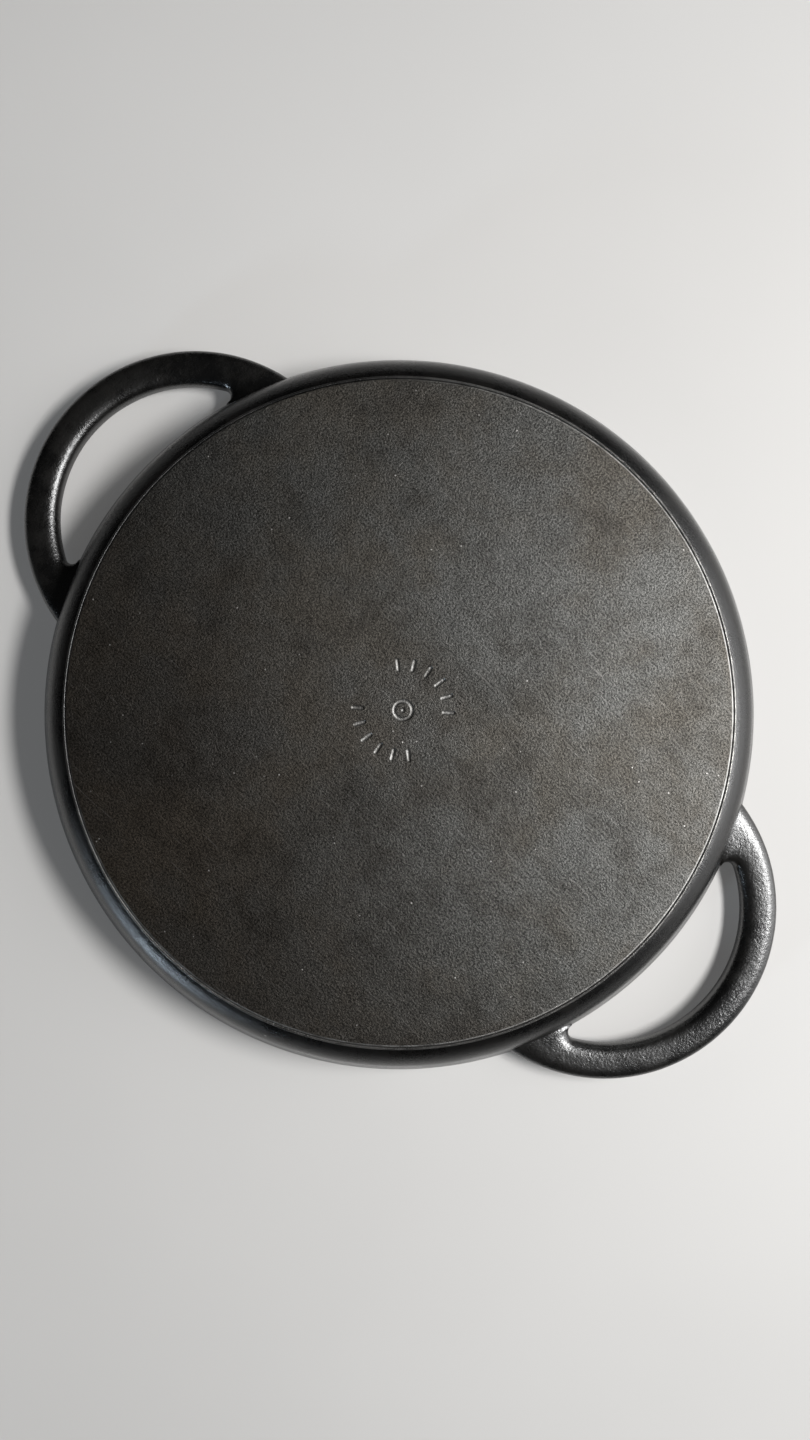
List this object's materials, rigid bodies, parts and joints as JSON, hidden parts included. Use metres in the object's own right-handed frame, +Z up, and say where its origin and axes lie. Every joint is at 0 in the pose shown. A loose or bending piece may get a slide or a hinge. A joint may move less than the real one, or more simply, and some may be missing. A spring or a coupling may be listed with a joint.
{
  "type": "grill pan",
  "caption": "Round cast-iron grill pan with a flared wall, a bead-edged flat base, parallel ribs on the cooking face and a loop handle on each side; lies upside down on its rim.",
  "frame": {"origin": "on the surface that the rim stands on, under the middle of the pan", "axes": "+X along the line of the two handles, +Y across it, +Z up from the rim to the underside: the pan lies upside down"},
  "size_m": [0.3762, 0.3, 0.03],
  "materials": {
    "underside_iron": "matte, pebbled, seasoned",
    "wall_iron": "satin black, smooth",
    "handle_iron": "satin black, fine orange peel",
    "rib_iron": "satin, seasoned"
  },
  "bodies": {
    "root": {"pan_floor": "underside_iron", "side_wall": "wall_iron", "handle_right": "handle_iron", "handle_left": "handle_iron", "grill_rib_01": "rib_iron", "grill_rib_02": "rib_iron", "grill_rib_03": "rib_iron", "grill_rib_04": "rib_iron", "grill_rib_05": "rib_iron", "grill_rib_06": "rib_iron", "grill_rib_07": "rib_iron", "grill_rib_08": "rib_iron", "grill_rib_09": "rib_iron", "grill_rib_10": "rib_iron", "grill_rib_11": "rib_iron", "grill_rib_12": "rib_iron", "grill_rib_13": "rib_iron", "grill_rib_14": "rib_iron", "grill_rib_15": "rib_iron", "grill_rib_16": "rib_iron", "grill_rib_17": "rib_iron"}
  },
  "joints": []
}
